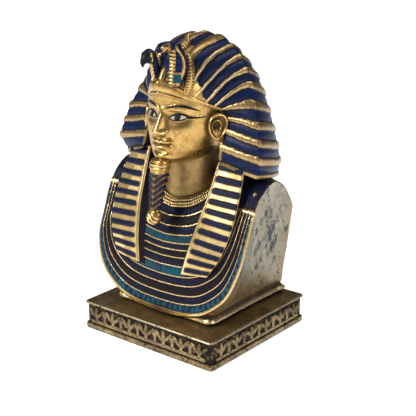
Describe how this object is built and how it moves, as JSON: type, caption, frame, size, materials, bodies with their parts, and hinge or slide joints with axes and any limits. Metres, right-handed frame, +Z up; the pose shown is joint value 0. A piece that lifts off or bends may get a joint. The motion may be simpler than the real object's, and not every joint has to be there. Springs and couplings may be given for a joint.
{
  "type": "pharaoh bust",
  "caption": "Small painted resin bust of a pharaoh in a striped headcloth with broad collar and plaited beard, on a rectangular plinth with a lotus frieze",
  "frame": {"origin": "middle of the plinth's underside", "axes": "+Z up to the crown, -Y the way the figure looks, +X to a viewer's right as they face it"},
  "size_m": [0.065, 0.06, 0.105],
  "materials": {
    "painted_resin": "satin gold, dark blue and turquoise paint with a dark wash",
    "bronzed_resin": "satin bronze paint over a black ground"
  },
  "bodies": {
    "root": {"bust": "painted_resin", "plinth": "bronzed_resin"}
  },
  "joints": []
}
